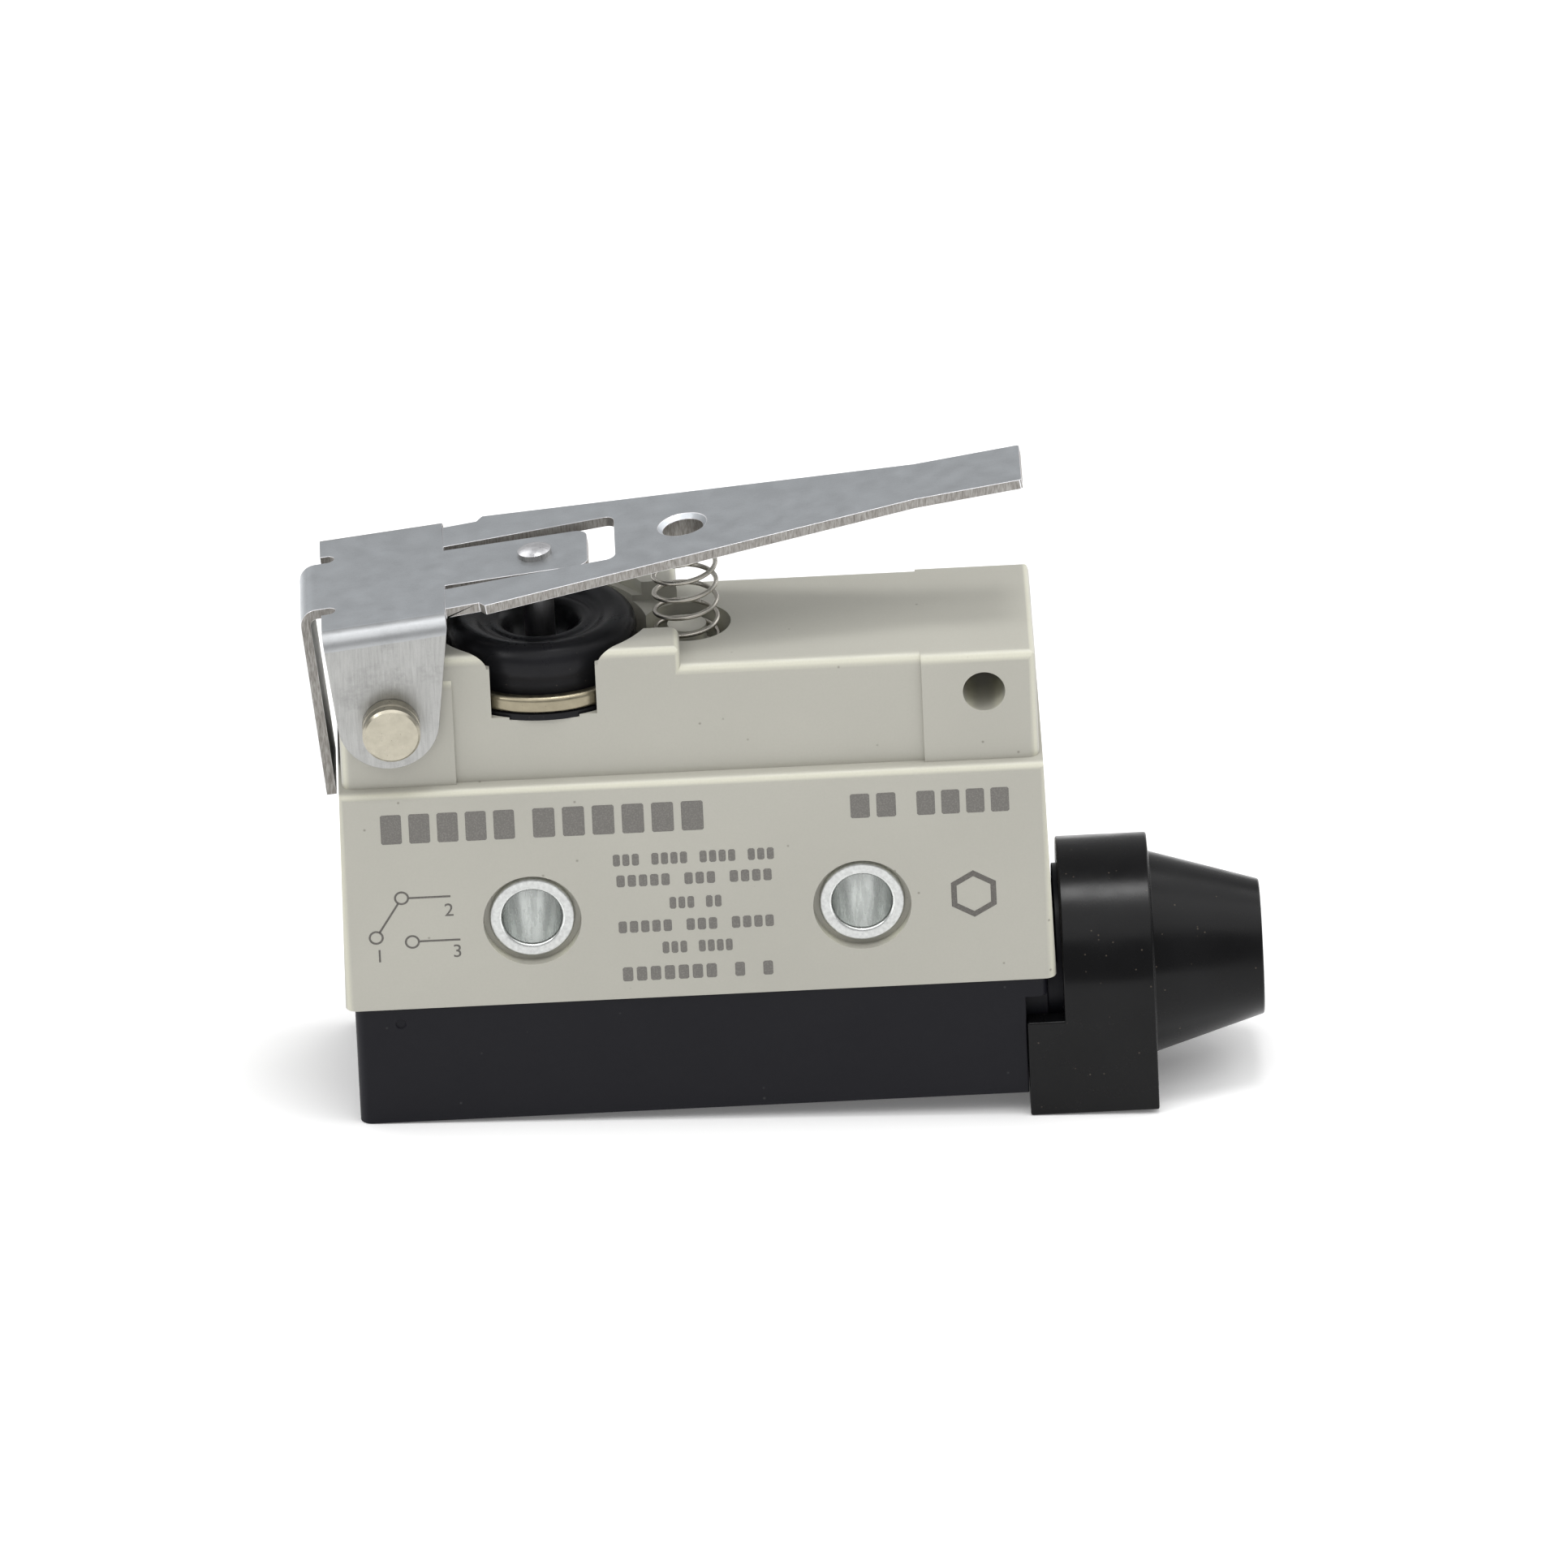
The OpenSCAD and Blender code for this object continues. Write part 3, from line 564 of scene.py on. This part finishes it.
make_shell("housing", case_plastic, 0.12, 2)
make_shell("terminal_cover", base_plastic, 0.25, 3)
make_shell("cable_cap", cap_rubber, 0.35, 3)


# ---- lever: sheet faces and sheared edges ----

# In mm along, across and above the lever's base, from the pivot.
EAR_LEFT = -4.08
EAR_RIGHT = 5.5
EAR_HALF = 9.05
FOLD_RADIUS = 1.35
LEVER_RISE = 8.2
FOLD_START = LEVER_RISE - FOLD_RADIUS
LEAF_LOW = -7.6
LEVER_ROUNDING = 0.04
SLACK = 0.05

SHEET, CUT, FOLDED_DOWN, FOLD, RIM = range(5)


def in_lever_frame(point):
    """Point of the row frame, in mm from the pivot along, across and above the lever's base."""
    return Matrix.Rotation(LEVER_SLOPE, 3, "Y") @ (Vector(point) - pivot) / MM


def sheet_side(centre, normal):
    """Which lever finish a face takes, from its place and the way it faces."""
    s, y, n = in_lever_frame(centre)
    facing = Matrix.Rotation(LEVER_SLOPE, 3, "Y") @ normal
    on_leaf = s < EAR_LEFT - SLACK and abs(y) < EAR_HALF / 2
    on_ear = abs(y) > EAR_HALF - FOLD_RADIUS - 0.03 and s < EAR_RIGHT + SLACK
    if on_leaf:
        if abs(facing.y) > 0.7 or (facing.z < -0.7 and n < LEAF_LOW + 1):
            return CUT
        return FOLDED_DOWN if n < FOLD_START else SHEET
    if on_ear:
        if abs(facing.y) < 0.3 and (abs(facing.x) > 0.1 or n < FOLD_START):
            return CUT
        if n < FOLD_START:
            return FOLDED_DOWN
        return FOLD if abs(facing.y) > 0.2 else SHEET
    return CUT if abs(facing.z) < 0.5 else SHEET


def make_lever():
    """The lever with a rounded rim between its sheet faces and its cut edges, painted bright as a
    painted highlight.
    """
    piece = softened("lever", LEVER_ROUNDING, clamp=False)
    rounded = [polygon.material_index == 1 for polygon in piece.data.polygons]
    paint(piece, lever_steel, lever_edge, ear_steel_shaded, fold_steel_shaded, rim_steel_highlight)
    for polygon, on_rim in zip(piece.data.polygons, rounded):
        side = sheet_side(polygon.center, polygon.normal)
        polygon.material_index = RIM if on_rim and side in (SHEET, CUT) else side
    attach(piece, "lever_arm")


make_lever()


# ---- return spring ----

# In mm and turns. The foot of the coil is tucked in.
WIRE_RADIUS = 0.19
COIL_RADIUS = 2.41
CLOSED_PITCH = 2.1 * WIRE_RADIUS
CLOSED_TURNS = 1.1
OPEN_TURNS = 6.2
END_TURNS = 0.7
TOTAL_TURNS = CLOSED_TURNS + OPEN_TURNS + END_TURNS
TUCKED_TURNS = 0.6
TUCK = 0.12
START_ANGLE = 0.6
STEPS_PER_TURN = 40
TOP_REACH = 0.3


def make_spring():
    """Coil from the case up to the tilted arm, which its last turns lean with."""
    low = spring_low.z / MM + WIRE_RADIUS
    high = spring_high.z / MM + TOP_REACH
    tilt = math.tan(LEVER_SLOPE + ARM_SLOPE)
    span = high - low - (CLOSED_TURNS + END_TURNS) * CLOSED_PITCH
    path = []
    for i in range(round(TOTAL_TURNS * STEPS_PER_TURN) + 1):
        t = i / STEPS_PER_TURN
        closed = min(t, CLOSED_TURNS) * CLOSED_PITCH
        middle = min(max(0.0, t - CLOSED_TURNS), OPEN_TURNS) / OPEN_TURNS
        last = max(0.0, t - CLOSED_TURNS - OPEN_TURNS) * CLOSED_PITCH
        lean = max(0.0, (t - CLOSED_TURNS) / (TOTAL_TURNS - CLOSED_TURNS)) ** 2
        angle = TAU * t + START_ANGLE
        radius = COIL_RADIUS - (TUCK if t < TUCKED_TURNS else 0.0)
        x, y = radius * math.cos(angle), radius * math.sin(angle)
        z = low + closed + span * middle + last + x * tilt * lean
        path.append(Vector((spring_x + x * MM, y * MM, z * MM)))
    piece = tube("return_spring_wire", path, WIRE_RADIUS * MM)
    paint(piece, spring_steel)
    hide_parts("return_spring")
    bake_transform(piece)


make_spring()


# ---- plunger boot ----


def make_boot():
    """Bellows boot: skirt, outer roll, web with an inner lip, and a funnel down to the stem."""
    throat = (stem_high.x - stem_low.x) / 2 / MM + 0.06
    outline = [
        (6.25, 16.62), (6.95, 16.62), (7.05, 17.2), (7.05, 18.6), (7.12, 19.3), (7.38, 20.2),
        (7.3, 21.1), (6.75, 21.8), (5.9, 22.05), (5.1, 21.8), (4.6, 21.45), (4.2, 21.33),
        (3.8, 21.42), (3.4, 21.4), (3.0, 21.1), (2.7, 20.6), (2.4, 20.0), (2.0, 19.6),
        (throat, 19.2), (throat, 18.2), (2.1, 18.4), (2.8, 19.2), (3.4, 20.0), (4.3, 20.4),
        (5.2, 20.6), (5.9, 20.7), (6.3, 20.2), (6.2, 19.2), (6.15, 17.6),
    ]
    piece = lathe("plunger_boot_bellows", smooth_outline(outline, 5), stem_x)
    paint(piece, boot_rubber)
    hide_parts("plunger_boot")
    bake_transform(piece)


make_boot()


# ---- bowed leaf on the contact blade ----

LEAF_THICKNESS = 0.2 * MM
LEAF_SIDE_GAP = 0.02 * MM
LEAF_WAIST = 0.78
LEAF_STEPS = 24


def make_snap_leaf():
    """Leaf bowed up along X, narrower in the middle."""
    low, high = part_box("snap_spring")
    half_width = (high.y - low.y) / 2 - LEAF_SIDE_GAP
    half_length = (high.x - low.x) / 2
    bow = high.z - low.z - LEAF_THICKNESS
    bm = bmesh.new()
    rings = []
    for i in range(LEAF_STEPS + 1):
        u = i / LEAF_STEPS * 2 - 1
        x = (low.x + high.x) / 2 + u * half_length
        side = half_width * (LEAF_WAIST + (1 - LEAF_WAIST) * u * u)
        bottom = low.z + bow * (1 - u * u)
        top = bottom + LEAF_THICKNESS
        corners = ((-side, bottom), (side, bottom), (side, top), (-side, top))
        rings.append([bm.verts.new((x, y, z)) for y, z in corners])
    join_rings(bm, rings, True)
    piece = add_object("snap_leaf", bm, smooth=False)
    paint(piece, brass)
    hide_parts("snap_spring")
    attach(piece, "contact_blade")
    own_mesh(piece)


make_snap_leaf()


# ---- print on the front ----

PRINT_RAISE = 0.012 * MM
PRINT_SINK = 0.01 * MM
THIN_LINE = 0.16
DIGIT_SIZE = 1.55 * MM


class Print:
    """Flat printed shapes on the front face, each a thin closed slab. Sizes in mm."""

    def __init__(self, name, material):
        self.name, self.material = name, material
        self.bm = bmesh.new()

    def slab(self, inner, outer=None):
        """Fills an outline, or the band between two outlines of equal length."""
        near, far = front_y - PRINT_RAISE, front_y + PRINT_SINK
        rows = [[self.bm.verts.new((x * MM, y, z * MM)) for x, z in loop]
                for loop in filter(None, (inner, outer)) for y in (near, far)]
        count = len(inner)
        if outer is None:
            self.bm.faces.new(rows[0])
            self.bm.faces.new(reversed(rows[1]))
        for i in range(count):
            j = (i + 1) % count
            if outer is None:
                self.bm.faces.new((rows[0][i], rows[0][j], rows[1][j], rows[1][i]))
            else:
                for a, b in ((0, 1), (1, 3), (3, 2), (2, 0)):
                    self.bm.faces.new((rows[a][i], rows[a][j], rows[b][j], rows[b][i]))

    def bar(self, x0, z0, x1, z1, corner=0.12):
        """Rectangle with cut corners."""
        c = min(corner, (x1 - x0) / 3, (z1 - z0) / 3)
        self.slab([(x0 + c, z0), (x1 - c, z0), (x1, z0 + c), (x1, z1 - c),
                   (x1 - c, z1), (x0 + c, z1), (x0, z1 - c), (x0, z0 + c)])

    def stroke(self, x0, z0, x1, z1, width):
        """Straight line of a set width."""
        side = Vector((z0 - z1, x1 - x0)).normalized() * width / 2
        a, b = Vector((x0, z0)), Vector((x1, z1))
        self.slab([tuple(a + side), tuple(a - side), tuple(b - side), tuple(b + side)])

    def loop(self, x, z, radius, width, sides=32, turn=0.0):
        """Ring, or a polygon's outline."""
        angles = [turn + TAU * k / sides for k in range(sides)]
        self.slab(*([(x + r * math.cos(a), z + r * math.sin(a)) for a in angles]
                    for r in (radius - width / 2, radius + width / 2)))

    def done(self):
        piece = add_object(self.name, self.bm, smooth=False)
        paint(piece, self.material)
        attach(piece, "case")


def blocks(mark, x0, x1, low, high, count, share=0.74):
    """A row of equal blocks, standing for a printed word."""
    pitch = (x1 - x0) / (count - 1 + share)
    for i in range(count):
        mark.bar(x0 + i * pitch, low, x0 + (i + share) * pitch, high)


def centred_blocks(mark, width, level, height, words):
    """A line of words in the middle of the face, each a row of blocks."""
    pitch = width / (sum(words) + len(words) - 1)
    low, high = level - height / 2, level + height / 2
    x = -width / 2
    for count in words:
        blocks(mark, x, x + (count - 0.3) * pitch, low, high, count)
        x += (count + 1) * pitch


def make_print():
    """Plain blocks for the words, a plain hexagon, and the contact diagram."""
    title = Print("title_blocks", pale_ink)
    blocks(title, -24.0, -13.7, 7.1, 9.6, 5)
    blocks(title, -12.3, 0.8, 7.1, 9.6, 6)
    title.done()

    rating = Print("rating_blocks", pale_ink)
    for level, width, words in ((4.8, 12.6, (3, 4, 4, 3)), (3.0, 12.2, (5, 3, 4)),
                                (0.95, 4.2, (3, 2)), (-0.95, 12.2, (5, 3, 4)),
                                (-2.85, 5.6, (3, 4))):
        centred_blocks(rating, width, level, 1.0, words)
    rating.done()

    footer = Print("footer_blocks", pale_ink)
    centred_blocks(footer, 11.9, -5.0, 1.2, (7, 1, 1))
    blocks(footer, 12.1, 15.6, 7.45, 9.5, 2)
    blocks(footer, 17.2, 24.3, 7.45, 9.5, 4)
    footer.done()

    mark = Print("corner_mark", ink)
    mark.loop(21.3, 0.5, 1.75, 0.5, sides=6, turn=math.pi / 6)
    mark.done()

    diagram = Print("contact_diagram", ink)
    for x, z in ((-22.66, 2.46), (-24.76, -0.84), (-22.0, -1.33)):
        diagram.loop(x, z, 0.5, THIN_LINE)
    diagram.stroke(-22.95, 2.0, -24.47, -0.4, THIN_LINE)
    diagram.stroke(-22.1, 2.44, -18.9, 2.44, THIN_LINE)
    diagram.stroke(-21.45, -1.31, -18.3, -1.31, THIN_LINE)
    diagram.done()
    for name, x, z in (("2", -19.45, 0.75), ("3", -18.95, -2.8), ("1", -24.95, -2.95)):
        make_digit(name, x, z)


def make_digit(text, x, z):
    """Small terminal number, as a thin raised mesh."""
    curve = bpy.data.curves.new("digit_" + text, "FONT")
    curve.body = text
    curve.size = DIGIT_SIZE
    curve.extrude = (PRINT_RAISE + PRINT_SINK) / 2
    label = bpy.data.objects.new("digit_" + text, curve)
    bpy.context.scene.collection.objects.link(label)
    middle_y = front_y - (PRINT_RAISE - PRINT_SINK) / 2
    label.matrix_world = (Matrix.Translation((x * MM, middle_y, z * MM))
                          @ Matrix.Rotation(math.pi / 2, 4, "X"))
    bpy.context.view_layer.update()
    shaped = label.evaluated_get(bpy.context.evaluated_depsgraph_get())
    mesh = bpy.data.meshes.new_from_object(shaped)
    mesh.transform(label.matrix_world)
    bpy.data.objects.remove(label)
    piece = bpy.data.objects.new("terminal_digit_" + text, mesh)
    bpy.context.scene.collection.objects.link(piece)
    paint(piece, ink)
    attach(piece, "case")


make_print()


# ---- floor, light and camera ----

FLOOR_HALF = 4.0
FLOOR_GLOW = 0.12


def make_floor():
    """Pale floor under what the switch rests on: the lower case's left edge and the cap."""
    left = Vector((cover_corner.x, 0, cover_corner.z))
    right = Vector((cap_corner.x, 0, cap_corner.z))
    slope = math.atan2(right.z - left.z, right.x - left.x)
    bm = bmesh.new()
    bm.faces.new([bm.verts.new((x * FLOOR_HALF, y * FLOOR_HALF, 0))
                  for x, y in ((-1, -1), (1, -1), (1, 1), (-1, 1))])
    floor = add_object("floor", bm, smooth=False)
    floor.matrix_world = Matrix.Translation(left) @ Matrix.Rotation(-slope, 4, "Y")
    f = Finish("floor_paper", roughness=0.9, specular=0.1)
    f.join(f.ramp(f.noise(40, detail=3), (0.3, 0.925), (0.7, 0.945)), "Base Color")
    f.set("Emission Color", (1, 1, 1, 1))
    f.set("Emission Strength", FLOOR_GLOW)
    paint(floor, f.material)


def make_softbox(name, place, size, power, aim=(0, 0, 0)):
    """Soft white light of a width and height at place, turned towards aim."""
    light = bpy.data.lights.new(name, "AREA")
    light.shape = "RECTANGLE"
    light.size, light.size_y = size
    light.energy = power
    lamp = bpy.data.objects.new(name, light)
    bpy.context.scene.collection.objects.link(lamp)
    lamp.location = place
    lamp.rotation_euler = (Vector(aim) - Vector(place)).to_track_quat("-Z", "Y").to_euler()


def make_light():
    """White room, one big key over the front, and four smaller boxes round it."""
    world = bpy.data.worlds.new("studio")
    world.use_nodes = True
    sky = world.node_tree.nodes["Background"]
    sky.inputs["Color"].default_value = (1.0, 1.0, 1.0, 1)
    sky.inputs["Strength"].default_value = 0.42
    bpy.context.scene.world = world
    make_softbox("key_softbox", (0.15, -0.32, 0.80), (1.5, 0.8), 4.6)
    make_softbox("top_softbox", (0.07, -0.02, 0.8), (0.16, 0.26), 1.8, aim=(0.02, 0, 0))
    make_softbox("right_softbox", (0.6, 0.3, 0.5), (0.8, 0.6), 2.0)
    make_softbox("back_softbox", (-0.5, 0.36, 0.58), (0.6, 0.5), 1.0)
    make_softbox("left_softbox", (-0.5, -0.32, 0.5), (0.25, 0.25), 0.9)


CAMERA_AZIMUTH = math.radians(0.313)
CAMERA_ELEVATION = math.radians(26.218)
CAMERA_ROLL = math.radians(-2.620)
CAMERA_TARGET = Vector((7.154, 0, 6.104)) * MM
CAMERA_DISTANCE = 2.0
LENS = 595.528
SENSOR_WIDTH = 36


def make_camera():
    """Long lens at the photograph's angle, rolled by the switch's own lean."""
    level = math.cos(CAMERA_ELEVATION)
    ahead = Vector((math.sin(CAMERA_AZIMUTH) * level, math.cos(CAMERA_AZIMUTH) * level,
                    -math.sin(CAMERA_ELEVATION)))
    right = ahead.cross(Vector((0, 0, 1))).normalized()
    up = right.cross(ahead)
    side = math.cos(CAMERA_ROLL) * right + math.sin(CAMERA_ROLL) * up
    top = -math.sin(CAMERA_ROLL) * right + math.cos(CAMERA_ROLL) * up
    data = bpy.data.cameras.new("camera")
    data.sensor_width = SENSOR_WIDTH
    data.lens = LENS
    data.clip_start, data.clip_end = 0.1, 100
    camera = bpy.data.objects.new("camera", data)
    bpy.context.scene.collection.objects.link(camera)
    turn = Matrix((side, top, -ahead)).transposed().to_4x4()
    place = CAMERA_TARGET - ahead * CAMERA_DISTANCE
    camera.matrix_world = Matrix.Translation(place) @ turn
    bpy.context.scene.camera = camera


make_floor()
make_light()
make_camera()
bpy.context.scene.view_settings.view_transform = "Standard"
